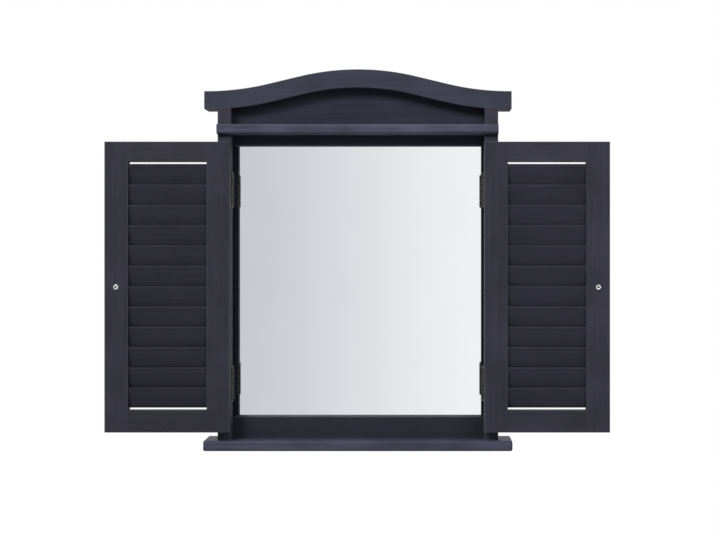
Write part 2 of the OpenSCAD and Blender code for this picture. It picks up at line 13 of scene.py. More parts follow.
import bmesh
import bpy
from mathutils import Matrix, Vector


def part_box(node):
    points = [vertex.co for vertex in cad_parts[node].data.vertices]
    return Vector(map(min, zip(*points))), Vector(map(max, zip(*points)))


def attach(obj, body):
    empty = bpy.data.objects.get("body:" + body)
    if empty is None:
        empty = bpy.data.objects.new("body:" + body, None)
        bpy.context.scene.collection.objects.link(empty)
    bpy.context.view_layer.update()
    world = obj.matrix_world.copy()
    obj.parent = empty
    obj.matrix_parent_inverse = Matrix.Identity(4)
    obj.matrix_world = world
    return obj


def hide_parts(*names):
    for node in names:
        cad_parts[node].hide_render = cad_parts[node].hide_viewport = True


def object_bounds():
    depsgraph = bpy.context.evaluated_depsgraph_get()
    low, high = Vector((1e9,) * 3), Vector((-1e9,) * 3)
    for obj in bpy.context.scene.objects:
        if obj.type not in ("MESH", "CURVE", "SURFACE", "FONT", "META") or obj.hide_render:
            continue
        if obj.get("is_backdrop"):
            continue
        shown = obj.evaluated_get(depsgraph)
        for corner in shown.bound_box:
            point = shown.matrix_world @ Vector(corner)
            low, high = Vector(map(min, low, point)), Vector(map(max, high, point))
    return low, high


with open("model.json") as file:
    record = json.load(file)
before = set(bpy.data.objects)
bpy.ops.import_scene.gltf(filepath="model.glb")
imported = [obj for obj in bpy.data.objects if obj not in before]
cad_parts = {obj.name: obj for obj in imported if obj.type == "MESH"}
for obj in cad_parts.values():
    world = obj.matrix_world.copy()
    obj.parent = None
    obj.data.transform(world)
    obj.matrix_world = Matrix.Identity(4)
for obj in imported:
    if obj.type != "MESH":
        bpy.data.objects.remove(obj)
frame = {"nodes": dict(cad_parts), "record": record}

cad_low, cad_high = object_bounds()
bodies = frame["record"]["behaviour"]["bodies"]
for body, members in bodies.items():
    print(f"{body} carries {len(members)} CAD nodes")

# %% [markdown]
# ## The camera
# The picture was taken from about two metres, a little to the right of the middle and level with
# the upper part of the mirror. The lens looks straight at the wall, so upright edges stay upright,
# and a small lens shift frames the object. A long lens keeps the perspective as flat as it is in
# the picture. Every length in this file is in metres.

# %% Place the camera
IMAGE_W = 716
IMAGE_H = 540
FOCAL_PX = 1476
CENTRE_PX = (421.3, 234.8)
SENSOR = 36

lens = bpy.data.cameras.new("photo_lens")
lens.sensor_width = SENSOR
lens.lens = FOCAL_PX * SENSOR / IMAGE_W
lens.shift_x = (IMAGE_W / 2 - CENTRE_PX[0]) / IMAGE_W
lens.shift_y = (CENTRE_PX[1] - IMAGE_H / 2) / IMAGE_W
camera = bpy.data.objects.new("photo_camera", lens)
camera.location = (0.0872, -2.0725, -0.1342)
camera.rotation_euler = (math.radians(90), 0, 0)
bpy.context.collection.objects.link(camera)
bpy.context.scene.camera = camera
print(f"lens {lens.lens:.1f} mm, shift {lens.shift_x:.3f}, {lens.shift_y:.3f}")

# %% [markdown]
# ## A few small tools
# Colours are written as the hex values that a paint chart or an image editor shows. Blender works
# in linear light, so one function turns them. Shader trees and geometry trees are both built from
# nodes, so one function adds a node of any kind, sets its properties, and fills or links its inputs.

# %% Colours and nodes
def linear(hex_colour):
    """The linear RGBA of an sRGB colour such as "#2b2c33"."""
    def channel(text):
        value = int(text, 16) / 255
        return value / 12.92 if value <= 0.04045 else ((value + 0.055) / 1.055) ** 2.4
    return (*(channel(hex_colour[i:i + 2]) for i in (1, 3, 5)), 1.0)


def add_node(tree, kind, settings=None, inputs=None):
    """Adds a node. An input given as a socket is linked, and any other is set."""
    node = tree.nodes.new(kind)
    for name, value in (settings or {}).items():
        setattr(node, name, value)
    for name, value in (inputs or {}).items():
        if isinstance(value, bpy.types.NodeSocket):
            tree.links.new(value, node.inputs[name])
        else:
            node.inputs[name].default_value = value
    return node


print("mid grey #808080 is", round(linear("#808080")[0], 3), "in linear light")

# %% [markdown]
# ## The studio
# The object hangs clear of the floor, so the floor lies some way below it and takes its soft shadow.
# The picture has a pure white surround, which here is the world seen by camera rays at strength 1.
# What the mirror, the screws and the gloss of the paint see is the same pale studio: greyer and a
# little cooler to the left, where the light falls off, and dimmer beyond the mirror's own view. The
# light that falls on the object is separate. A broad key lamp stands in front, to the left and
# above, a weak lamp answers it from the right, and the world adds an even fill that is stronger
# behind the object, where the white backdrop is.

# %% Build the floor
FLOOR_BELOW = 0.45
FLOOR_SIZE = 3.2
FLOOR_GLOW = 0.6
floor_z = cad_low.z - FLOOR_BELOW
half = FLOOR_SIZE / 2
floor_mesh = bpy.data.meshes.new("studio_floor")
corners = [(x * half, y * half, floor_z) for x, y in ((-1, -1), (1, -1), (1, 1), (-1, 1))]
floor_mesh.from_pydata(corners, [], [(0, 1, 2, 3)])
floor = bpy.data.objects.new("studio_floor", floor_mesh)
bpy.context.collection.objects.link(floor)
floor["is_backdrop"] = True

# Matt white vinyl: it scatters the lamps, lifts itself to white for the camera, and stays greyer in
# the mirror, so that the glass never melts into the background
floor_vinyl = bpy.data.materials.new("matt_white_vinyl")
floor_vinyl.use_nodes = True
tree = floor_vinyl.node_tree
tree.nodes.clear()
path = add_node(tree, "ShaderNodeLightPath")
watched = add_node(tree, "ShaderNodeMath", {"operation": "MAXIMUM"}, {
    0: path.outputs["Is Camera Ray"], 1: path.outputs["Is Glossy Ray"]}).outputs[0]
watched = add_node(tree, "ShaderNodeMath", {"operation": "MAXIMUM"}, {
    0: watched, 1: path.outputs["Is Transmission Ray"]}).outputs[0]
matt = add_node(tree, "ShaderNodeBsdfDiffuse", inputs={"Color": linear("#f4f4f4")})
glow_level = add_node(tree, "ShaderNodeMath", {"operation": "MULTIPLY"}, {
    0: path.outputs["Is Camera Ray"], 1: FLOOR_GLOW}).outputs[0]
glow = add_node(tree, "ShaderNodeEmission", inputs={"Color": linear("#ffffff"), "Strength": glow_level})
lit = add_node(tree, "ShaderNodeAddShader", inputs={0: matt.outputs[0], 1: glow.outputs[0]})
# The floor throws only a grey floor's light back on the object, so undersides stay dark
bounce = add_node(tree, "ShaderNodeBsdfDiffuse", inputs={"Color": linear("#808080")})
both = add_node(tree, "ShaderNodeMixShader", inputs={0: watched, 1: bounce.outputs[0], 2: lit.outputs[0]})
add_node(tree, "ShaderNodeOutputMaterial", inputs={"Surface": both.outputs[0]})
floor_mesh.materials.append(floor_vinyl)
print(f"the floor lies {FLOOR_BELOW * 1000:.0f} mm under the object")

# %% Light the studio
FILL_LEVEL = 0.27
BACKDROP_LEVEL = 0.8
KEY_POWER = 114
SIDE_POWER = 10
# The mirror's view of the room, by the sideways part of a ray: its ends, and where the room ends
VIEW_LEFT, VIEW_RIGHT, ROOM_END = -0.14, 0.05, 0.35
LEFT_LEVEL, RIGHT_LEVEL = 0.66, 0.942
# From this level up the light is neutral, and below it turns cooler
WHITE_FROM = 0.94
ROOM_DIMMING = 0.25
# The backdrop behind the object begins softly at this backward part of a ray
BACKDROP_EDGE = 0.3

world = bpy.data.worlds.new("pale_studio")
bpy.context.scene.world = world
world.use_nodes = True
tree = world.node_tree
tree.nodes.clear()
path = add_node(tree, "ShaderNodeLightPath")
direction = add_node(tree, "ShaderNodeTexCoord").outputs["Generated"]
ways = add_node(tree, "ShaderNodeSeparateXYZ", inputs={0: direction}).outputs
view = add_node(tree, "ShaderNodeMapRange", {"interpolation_type": "SMOOTHSTEP"}, {
    "Value": ways["X"], "From Min": VIEW_LEFT, "From Max": VIEW_RIGHT,
    "To Min": LEFT_LEVEL, "To Max": RIGHT_LEVEL}).outputs["Result"]
beyond = add_node(tree, "ShaderNodeMapRange", {"interpolation_type": "SMOOTHSTEP"}, {
    "Value": ways["X"], "From Min": VIEW_RIGHT, "From Max": ROOM_END,
    "To Max": ROOM_DIMMING}).outputs["Result"]
room = add_node(tree, "ShaderNodeMath", {"operation": "SUBTRACT"}, {0: view, 1: beyond}).outputs[0]
behind = add_node(tree, "ShaderNodeMapRange", {"interpolation_type": "SMOOTHSTEP"}, {
    "Value": ways["Y"], "From Max": BACKDROP_EDGE}).outputs["Result"]
wall_light = add_node(tree, "ShaderNodeMix", inputs={"Factor": behind, "A": room, "B": 1.0})
fill = add_node(tree, "ShaderNodeMix", inputs={"Factor": behind, "A": FILL_LEVEL, "B": BACKDROP_LEVEL})
seen = add_node(tree, "ShaderNodeMath", {"operation": "MAXIMUM"}, {
    0: path.outputs["Is Glossy Ray"], 1: path.outputs["Is Transmission Ray"]})
reflected = add_node(tree, "ShaderNodeMix", inputs={
    "Factor": seen.outputs[0], "A": fill.outputs["Result"], "B": wall_light.outputs["Result"]})
strength = add_node(tree, "ShaderNodeMix", inputs={
    "Factor": path.outputs["Is Camera Ray"], "A": reflected.outputs["Result"], "B": 1.0})
warmth = add_node(tree, "ShaderNodeMapRange", inputs={
    "Value": strength.outputs["Result"], "From Min": LEFT_LEVEL, "From Max": WHITE_FROM})
white = add_node(tree, "ShaderNodeMix", {"data_type": "RGBA"}, {
    "Factor": warmth.outputs["Result"], 6: linear("#f7f9ff"), 7: linear("#ffffff")}).outputs[2]
studio = add_node(tree, "ShaderNodeBackground", inputs={
    "Color": white, "Strength": strength.outputs["Result"]})
add_node(tree, "ShaderNodeOutputWorld", inputs={"Surface": studio.outputs[0]})


def soft_lamp(name, place, target, size, power):
    """A square area lamp that faces its target."""
    data = bpy.data.lights.new(name, "AREA")
    data.shape = "SQUARE"
    data.size = size
    data.energy = power
    lamp = bpy.data.objects.new(name, data)
    lamp.location = place
    lamp.rotation_euler = (Vector(target) - Vector(place)).to_track_quat("-Z", "Y").to_euler()
    bpy.context.collection.objects.link(lamp)


soft_lamp("key_from_upper_left", (-1.46, -3.61, 2.1), (0, 0, -0.15), 1.2, KEY_POWER)
soft_lamp("fill_from_right", (1.0, -1.73, 0.78), (0, 0, -0.15), 0.7, SIDE_POWER)
bpy.context.scene.view_settings.view_transform = "Standard"
print("two area lamps and a pale world light the studio")

# %% [markdown]
# ## Painted wood
# All the boards are softwood under a satin anthracite paint. The paint is nearly black with a
# cold blue cast. It is thin enough that the grain stands through it as fine ridges, and brushing
# leaves the tone a little uneven. Two stretched noises make the grain: growth rings a few
# millimetres apart, and pores, both drawn out along the board. Real pores are far finer than a
# millimetre, and these are drawn a millimetre wide so that they show.
# One recipe serves every board. It takes the direction of the grain and the two tones between
# which the paint drifts. Its copies are set paler for the ledge and the sill, which stand out into
# the light, and darker for the crown panel, the bottom rail and the beads, which lie in shade, so
# light and shade are painted into their tones; the crown band is a little paler and the slats a
# little darker. Where an arris has been eased, on rounded upper front faces and on one lit side,
# the paint is painted paler: partly paint thinned by sanding, partly a painted highlight. The mesh
# says where that is, in a face attribute for rubbed and lit paint, and an attribute called
# piece_tone shifts a whole board or slat a little: at random for the slats, and set board by board
# for the others.

# %% Make the painted wood
def new_material(name):
    """An empty node material with its Principled shader linked to the output."""
    made = bpy.data.materials.new(name)
    made.use_nodes = True
    made.node_tree.nodes.clear()
    shader = add_node(made.node_tree, "ShaderNodeBsdfPrincipled")
    add_node(made.node_tree, "ShaderNodeOutputMaterial", inputs={"Surface": shader.outputs[0]})
    return made, made.node_tree, shader


def per_metre(millimetres):
    """Texture scale for a feature of that size."""
    return 1000 / millimetres


def patches(tree, size_mm, detail, rough=0.5):
    """Soft random patches of that size, from 0 to 1, that keep their places on the object."""
    where = add_node(tree, "ShaderNodeTexCoord").outputs["Object"]
    return add_node(tree, "ShaderNodeTexNoise", inputs={
        "Vector": where, "Scale": per_metre(size_mm), "Detail": detail, "Roughness": rough}).outputs["Fac"]


RING_MM, RING_RUN_MM = 4.5, 130
PORE_MM, PORE_RUN_MM = 1.1, 22
MOTTLE_MM = 55
# Rings and mottle added up stay between these, so the paint drifts over the whole of its two tones
TONE_LOW, TONE_HIGH = 0.72, 1.28
RIDGE_HEIGHT = 0.00012
RIDGE_STRENGTH = 0.55
PAINT_SPECULAR = 0.2
# The paler paint of eased arrises, rounded upper front faces and lit sides: partly rubbed paint, partly a
# painted highlight
RUBBED_AND_LIT_PAINT = "#525360"


def painted_wood(name, grain_axis, dark="#2c2b35", pale="#383744", gloss=PAINT_SPECULAR,
                 roughness=(0.62, 0.76)):
    """Satin anthracite paint over softwood, with the grain along one axis."""
    made, tree, shader = new_material(name)
    where = add_node(tree, "ShaderNodeTexCoord").outputs["Object"]

    def grain(across_mm, along_mm, detail, rough, distortion=0.0):
        """Noise drawn out along the board."""
        scale = [per_metre(across_mm)] * 3
        scale[grain_axis] = per_metre(along_mm)
        drawn_out = add_node(tree, "ShaderNodeMapping", inputs={"Vector": where, "Scale": scale})
        return add_node(tree, "ShaderNodeTexNoise", inputs={
            "Vector": drawn_out.outputs[0], "Scale": 1.0, "Detail": detail, "Roughness": rough,
            "Distortion": distortion}).outputs["Fac"]

    rings = grain(RING_MM, RING_RUN_MM, 4.0, 0.55, 0.25)
    pores = grain(PORE_MM, PORE_RUN_MM, 3.0, 0.6)
    mottle = patches(tree, MOTTLE_MM, 2.0)
    drift = add_node(tree, "ShaderNodeMath", {"operation": "ADD"}, {0: rings, 1: mottle}).outputs[0]
    tone = add_node(tree, "ShaderNodeMapRange", inputs={
        "Value": drift, "From Min": TONE_LOW, "From Max": TONE_HIGH}).outputs["Result"]
    own_tone = add_node(tree, "ShaderNodeAttribute", {"attribute_name": "piece_tone"}).outputs["Fac"]
    tone = add_node(tree, "ShaderNodeMath", {"operation": "ADD", "use_clamp": True}, {
        0: tone, 1: own_tone}).outputs[0]
    coat = add_node(tree, "ShaderNodeMix", {"data_type": "RGBA"}, {
        "Factor": tone, 6: linear(dark), 7: linear(pale)}).outputs[2]
    # Paler paint where the mesh is marked: partly rubbed paint, partly a painted highlight
    eased = add_node(tree, "ShaderNodeAttribute", {"attribute_name": "rub_and_highlight"}).outputs["Fac"]
    rub_and_highlight = add_node(tree, "ShaderNodeMath", {"operation": "MULTIPLY"}, {0: eased, 1: pores}).outputs[0]
    paint = add_node(tree, "ShaderNodeMix", {"data_type": "RGBA"}, {
        "Factor": rub_and_highlight, 6: coat, 7: linear(RUBBED_AND_LIT_PAINT)}).outputs[2]
    sheen = add_node(tree, "ShaderNodeMapRange", inputs={
        "Value": pores, "From Min": 0.3, "From Max": 0.7,
        "To Min": roughness[0], "To Max": roughness[1]}).outputs["Result"]
    relief = add_node(tree, "ShaderNodeMath", {"operation": "ADD"}, {0: rings, 1: pores}).outputs[0]
    ridges = add_node(tree, "ShaderNodeBump", inputs={
        "Height": relief, "Strength": RIDGE_STRENGTH, "Distance": RIDGE_HEIGHT}).outputs["Normal"]
    for socket, value in (("Base Color", paint), ("Roughness", sheen), ("Normal", ridges)):
        tree.links.new(value, shader.inputs[socket])
    shader.inputs["Specular IOR Level"].default_value = gloss
    return made


X_AXIS, Z_AXIS = 0, 2
paint_upright = painted_wood("satin_paint_on_upright_pine", Z_AXIS)
paint_level = painted_wood("satin_paint_on_level_pine", X_AXIS)
# Copies of one paint: paler for the ledge and the sill, where they stand out into the light, and darker for
# the crown panel, the bottom rail and the beads, where they lie in shade, so light and shade are painted into
# them. The crown band is set a little paler and the slats a little darker.
paint_slats = painted_wood("satin_paint_on_louvre_slats", X_AXIS, "#26252f", "#302f3b")
paint_crown = painted_wood("satin_paint_on_bent_crown", X_AXIS, "#323340", "#3e4050")
paint_panel = painted_wood("shaded_satin_paint_on_crown_panel", X_AXIS, "#232531", "#2d2f3d")
paint_rail = painted_wood("shaded_satin_paint_on_bottom_rail", X_AXIS, "#20212b", "#292b36")
paint_beads = painted_wood("shaded_matt_paint_on_beads", Z_AXIS, "#15161c", "#202128", gloss=0.0)
paint_ledge = painted_wood("dry_brushed_and_lit_paint_on_ledge", X_AXIS, "#3c3c4c", "#59586e")
paint_sill = painted_wood(
    "glossy_lit_paint_on_sill", X_AXIS, "#353642", "#4c4d61", gloss=0.19, roughness=(0.42, 0.58))
print("made", ", ".join(m.name for m in bpy.data.materials if "paint" in m.name))

# %% [markdown]
# ## Metals, glass and raw boards
# The hinges are steel with an antique bronze plating, almost black, with grey rubs, and painted
# pale on the edges and the rivets of the pins: partly worn through, partly a painted glint. The
# knob screws are bright nickel with painted shade in their crosses, and the hangers and brads
# behind are zinc, slightly blue and cloudy. A mirror is float glass with silver behind it: a
# near-perfect reflector with a cold tint, and a green edge where one looks into the glass itself.
# Its silver is covered by grey lacquer. Behind it lies raw hardboard, pressed brown fibre with the
# print of a wire screen, and the joints are pinned with raw beech dowels, which show their short
# dark flecks only when the frame is taken apart.

# %% Make the metals
def plated_metal(name, dark, pale, patch_mm, roughness, worn_and_glint=None):
    """A plated metal whose tone and gloss drift in soft patches, and paler on its marked edges: partly wear,
    partly a painted glint.
    """
    made, tree, shader = new_material(name)
    clouds = patches(tree, patch_mm, 5.0, 0.65)
    share = add_node(tree, "ShaderNodeMapRange", inputs={
        "Value": clouds, "From Min": 0.35, "From Max": 0.65}).outputs["Result"]
    colour = add_node(tree, "ShaderNodeMix", {"data_type": "RGBA"}, {
        "Factor": share, 6: linear(dark), 7: linear(pale)}).outputs[2]
    if worn_and_glint:
        rub_and_highlight = add_node(tree, "ShaderNodeAttribute", {"attribute_name": "rub_and_highlight"}).outputs["Fac"]
        colour = add_node(tree, "ShaderNodeMix", {"data_type": "RGBA"}, {
            "Factor": rub_and_highlight, 6: colour, 7: linear(worn_and_glint)}).outputs[2]
    gloss = add_node(tree, "ShaderNodeMapRange", inputs={
        "Value": clouds, "To Min": roughness[0], "To Max": roughness[1]}).outputs["Result"]
    tree.links.new(colour, shader.inputs["Base Color"])
    tree.links.new(gloss, shader.inputs["Roughness"])
    shader.inputs["Metallic"].default_value = 1.0
    return made


# The pale edges and pin domes of the hinges are partly wear, partly a painted glint
bronze = plated_metal("antique_bronze_plate", "#161616", "#605f5c", 2.0, (0.50, 0.30), worn_and_glint="#a6a39a")
bright_nickel = plated_metal("bright_nickel_plate", "#dfe2e6", "#f8f9fb", 1.5, (0.30, 0.20))
zinc = plated_metal("bright_zinc_plate", "#bfc3c8", "#e4e7ea", 1.5, (0.34, 0.22))


def dull(name, dark, pale, lump_mm, detail, roughness):
    """A dull coat that drifts between two colours in lumps of that size."""
    made, tree, shader = new_material(name)
    colour = add_node(tree, "ShaderNodeMix", {"data_type": "RGBA"}, {
        "Factor": patches(tree, lump_mm, detail), 6: linear(dark), 7: linear(pale)}).outputs[2]
    tree.links.new(colour, shader.inputs["Base Color"])
    shader.inputs["Roughness"].default_value = roughness
    return made


# Painted shade at the bottom of a screw's cross: a near-black coat where little light gets in
grime = dull("grime_in_the_recess", "#0c0c0f", "#26262c", 0.4, 3.0, 0.9)
print("made", bronze.name, bright_nickel.name, zinc.name, grime.name)

# %% Make the glass, the hardboard and the beech
# Silver behind clear float glass: the faint haze is what wiping leaves
HAZE_MM = 90
silvered, tree, shader = new_material("silvered_float_glass")
haze = patches(tree, HAZE_MM, 3.0)
tint = add_node(tree, "ShaderNodeMix", {"data_type": "RGBA"}, {
    "Factor": haze, 6: linear("#f2f4f5"), 7: linear("#f8fafb")}).outputs[2]
wiping = add_node(tree, "ShaderNodeMapRange", inputs={
    "Value": haze, "From Min": 0.4, "From Max": 0.8, "To Max": 0.02}).outputs["Result"]
tree.links.new(tint, shader.inputs["Base Color"])
tree.links.new(wiping, shader.inputs["Roughness"])
shader.inputs["Metallic"].default_value = 1.0

# The cut edge of the pane: green, and frosted by the cutting wheel
cut_edge = dull("ground_glass_edge", "#3f5f55", "#7d9c91", 1.2, 2.0, 0.45)

# Grey lacquer brushed over the silver
lacquer = dull("grey_mirror_lacquer", "#6a7075", "#868c90", 14, 4.0, 0.6)

# Hardboard: short brown fibres, and the square print of the pressing screen
SCREEN_MM = 1.6
FIBRE_MM = 2.5
BLOTCH_MM = 40
BLOTCH_SHARE = 0.35
hardboard, tree, shader = new_material("raw_hardboard")
mixed = add_node(tree, "ShaderNodeMath", {"operation": "MULTIPLY_ADD"}, {
    0: patches(tree, BLOTCH_MM, 2.0), 1: BLOTCH_SHARE, 2: patches(tree, FIBRE_MM, 8.0, 0.7)}).outputs[0]
share = add_node(tree, "ShaderNodeMapRange", inputs={
    "Value": mixed, "From Min": 0.45, "From Max": 0.9}).outputs["Result"]
brown = add_node(tree, "ShaderNodeMix", {"data_type": "RGBA"}, {
    "Factor": share, 6: linear("#5b3d26"), 7: linear("#8a6442")}).outputs[2]
where = add_node(tree, "ShaderNodeTexCoord").outputs["Object"]
apart = add_node(tree, "ShaderNodeSeparateXYZ", inputs={0: where})
waves = [add_node(tree, "ShaderNodeMath", {"operation": "SINE"}, {
    0: add_node(tree, "ShaderNodeMath", {"operation": "MULTIPLY"}, {
        0: apart.outputs[axis], 1: 2 * math.pi * per_metre(SCREEN_MM)}).outputs[0]}).outputs[0]
    for axis in ("X", "Z")]
screen = add_node(tree, "ShaderNodeMath", {"operation": "MULTIPLY"}, {0: waves[0], 1: waves[1]}).outputs[0]
print_relief = add_node(tree, "ShaderNodeBump", inputs={
    "Height": screen, "Strength": 0.5, "Distance": 0.0002}).outputs["Normal"]
tree.links.new(brown, shader.inputs["Base Color"])
tree.links.new(print_relief, shader.inputs["Normal"])
shader.inputs["Roughness"].default_value = 0.8

# Beech: pinkish straw with short dark flecks along the dowel
FLECK_MM, FLECK_RUN_MM = 0.8, 3.0
beech, tree, shader = new_material("raw_beech")
where = add_node(tree, "ShaderNodeTexCoord").outputs["Object"]
drawn_out = add_node(tree, "ShaderNodeMapping", inputs={
    "Vector": where, "Scale": (per_metre(FLECK_MM), per_metre(FLECK_MM), per_metre(FLECK_RUN_MM))})
flecks = add_node(tree, "ShaderNodeTexNoise", inputs={
    "Vector": drawn_out.outputs[0], "Scale": 1.0, "Detail": 3.0}).outputs["Fac"]
straw = add_node(tree, "ShaderNodeMix", {"data_type": "RGBA"}, {
    "Factor": flecks, 6: linear("#b58a5c"), 7: linear("#dcbc90")}).outputs[2]
tree.links.new(straw, shader.inputs["Base Color"])
shader.inputs["Roughness"].default_value = 0.65
print("made", silvered.name, cut_edge.name, lacquer.name, hardboard.name, beech.name)

# %% [markdown]
# ## From a CAD solid to a board
# The imported solids arrive as loose triangles with knife edges. A real board has its arrises
# sanded: a rounding under a millimetre that catches a thin line of light, and without it wood looks
# like plastic. So each board is copied, its triangles are joined and its flat faces made whole,
# and only the wanted edges are bevelled. The bevel's faces are marked in a face attribute, where
# the paint is painted paler: partly paint thinned by sanding, partly a painted highlight. Weighted
# normals then keep the broad faces flat to the eye. The copy stands for the CAD node, which stays
# hidden underneath for the physics.

# %% Tools for the boards
MERGE = 2e-6
TOUCHING = 1e-5
FLAT = math.radians(0.3)
SHARP = math.radians(35)
SMOOTH_UP_TO = math.radians(40)
ARRIS = 0.0009
# The part of a face's normal from which the face counts as leaning that way
LEANING = 0.2


def joined_copy(*nodes):
    """A bmesh of CAD nodes with their triangles joined and their flat faces made whole."""
    made = bmesh.new()
    for node in nodes:
        made.from_mesh(frame["nodes"][node].data)
    bmesh.ops.remove_doubles(made, verts=made.verts, dist=MERGE)
    bmesh.ops.dissolve_limit(made, angle_limit=FLAT, verts=made.verts, edges=made.edges)
    return made


def is_arris(edge, shortest):
    """True for an outward corner that is long enough to be sanded."""
    return (edge.is_manifold and edge.calc_length() > shortest
            and edge.calc_face_angle_signed() > SHARP)


def rub_and_highlight_layer(made):
    """The attribute that says how much paler each face's paint is painted: partly rubbed paint, partly a
    painted highlight.
    """
    return made.faces.layers.float.get("rub_and_highlight") or made.faces.layers.float.new("rub_and_highlight")


def ease(made, edges, width, steps=3):
    """Rounds the edges, and marks the new faces for paler paint: partly rubbed paint, partly a painted
    highlight.
    """
    rub_and_highlight = rub_and_highlight_layer(made)
    rounded = bmesh.ops.bevel(
        made, geom=edges, offset=width, offset_type="OFFSET", segments=steps,
        profile=0.5, affect="EDGES", clamp_overlap=False)
    for face in rounded["faces"]:
        face[rub_and_highlight] = 1.0


def ease_all(made, width, steps=3, shortest=0.0):
    """Rounds every arris of a piece."""
    ease(made, [e for e in made.edges if is_arris(e, shortest)], width, steps)


def highlight_on_roundings(made):
    """Marks a moulding's rounded faces that lean up and to the front, towards the light from above, for paler
    paint: a painted highlight.
    """
    rub_and_highlight = rub_and_highlight_layer(made)
    for face in made.faces:
        if face.normal.y < -LEANING and face.normal.z > LEANING:
            face[rub_and_highlight] = 1.0


def settle(made, name, materials):
    """Turns a bmesh into a smooth-shaded object whose broad faces stay flat to the eye."""
    mesh = bpy.data.meshes.new(name)
    bmesh.ops.recalc_face_normals(made, faces=made.faces)
    made.to_mesh(mesh)
    made.free()
    for material in materials:
        mesh.materials.append(material)
    return flatten_normals(name, mesh)


def flatten_normals(name, mesh):
    """An object for the mesh, with weighted normals worked into it."""
    mesh.shade_smooth()
    mesh.set_sharp_from_angle(angle=SMOOTH_UP_TO)
    piece = bpy.data.objects.new(name, mesh)
    bpy.context.collection.objects.link(piece)
    piece.modifiers.new("broad_faces", "WEIGHTED_NORMAL").keep_sharp = True
    return plain_mesh(piece)


def plain_mesh(piece):
    """Works the modifiers of an object into its mesh and takes them off."""
    depsgraph = bpy.context.evaluated_depsgraph_get()
    worked = bpy.data.meshes.new_from_object(
        piece.evaluated_get(depsgraph), preserve_all_data_layers=True, depsgraph=depsgraph)
    piece.modifiers.clear()
    old = piece.data
    piece.data = worked
    bpy.data.meshes.remove(old)
    worked.name = piece.name
    return piece


def body_of(node):
    """The body that carries a CAD node."""
    return next(body for body, members in bodies.items() if node in members)


def stand_in(piece, slot, *nodes):
    """Declares what a finished piece rides on and replaces; the slot, for its finish, is not used."""
    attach(piece, body_of(nodes[0]))
    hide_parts(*nodes)
    print(f"{piece.name}: {len(piece.data.polygons)} faces, stands for {', '.join(nodes)}")


print("board tools ready: arrises are eased by", ARRIS * 1000, "mm")

# %% [markdown]
# ## The plain boards
# These are straight pieces of timber, so an edge belongs to the sanding pass when it runs the
# length of the board. The ends of a rail butt against a stile, and easing them would cut a groove
# into the joint, so only the free ends of the stiles and the shutters' uprights are eased too. For
# the same reason the inner arrises of a shutter's uprights stop where the rails begin: there the
# joint was sanded flush and painted over.

# %% Dress the boards
# An edge shorter than this, or than this share of its board, is no arris
SHORTEST_ARRIS = 0.004
SHORTEST_SHARE = 0.02
BEAD_ARRIS = 0.0006
# How far each board's tone is shifted from the middle of its paint, board by board
BOARD_TONES = {
    "left_stile": 0.25, "right_stile": 0.25, "left_outer_stile": -0.15, "left_hinge_stile": -0.25,
    "left_top_rail": -0.1, "left_bottom_rail": -0.6, "right_outer_stile": 0.1, "right_bottom_rail": -0.15}
# Boards whose face that looks this way is painted pale all over: a painted highlight, where that face takes
# the light from the left
LIT_SIDES = {"right_hinge_stile": Vector((-1, 0, 0))}
SIDE_HIGHLIGHT = 2.0


def along(edge, axis):
    """True if the edge runs along that axis."""
    run = (edge.verts[0].co - edge.verts[1].co).normalized()
    return abs(run[axis]) > 0.999


def midpoint(edge):
    """The middle of an edge."""
    return (edge.verts[0].co + edge.verts[1].co) / 2


def split_at(made, height):
    """Cuts all the faces of a board at one height."""
    bmesh.ops.bisect_plane(
        made, geom=made.verts[:] + made.edges[:] + made.faces[:], dist=MERGE,
        plane_co=(0, 0, height), plane_no=(0, 0, 1))


def dress_board(node, axis, paint, longest_only=True, width=ARRIS, rails=()):
    """A board with its long arrises eased, and its end arrises too when asked.

    Where a lower and an upper rail butt against the board, the arrises stop."""
    made = joined_copy(node)
    low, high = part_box(node)
    shortest = SHORTEST_SHARE * (high - low)[axis]
    stops = [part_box(rail)[end].z for end, rail in zip((1, 0), rails)]
    for height in stops:
        split_at(made, height)

    def on_skin(edge):
        middle = midpoint(edge)
        on_faces = [min(abs(middle[i] - low[i]), abs(middle[i] - high[i])) < TOUCHING for i in range(3)]
        return sum(on_faces) >= 2

    def is_butted(edge):
        if not rails:
            return False
        middle = midpoint(edge)
        rail_x = sum(corner.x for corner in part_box(rails[0])) / 2
        board_x = (low.x + high.x) / 2
        return (middle.x - board_x) * (rail_x - board_x) > 0 and not stops[0] < middle.z < stops[1]

    outer = [e for e in made.edges if is_arris(e, SHORTEST_ARRIS) and on_skin(e)]
    eased = [e for e in outer if along(e, axis) and e.calc_length() > shortest and not is_butted(e)]
    if not longest_only:
        eased += [e for e in outer if not along(e, axis)]
    ease(made, eased, width)
    bmesh.ops.remove_doubles(made, verts=made.verts, dist=MERGE)
    # A painted highlight on faces that lean up towards the light
    highlight_on_roundings(made)
    rub_and_highlight = rub_and_highlight_layer(made)
    tone = made.faces.layers.float.new("piece_tone")
    for face in made.faces:
        face[tone] = BOARD_TONES.get(node, 0.0)
        # A painted highlight over the whole of a lit side
        if node in LIT_SIDES and face.normal.dot(LIT_SIDES[node]) > 0.5:
            face[rub_and_highlight] = SIDE_HIGHLIGHT
    stand_in(settle(made, node + "_board", [paint]), "painted_wood", node)


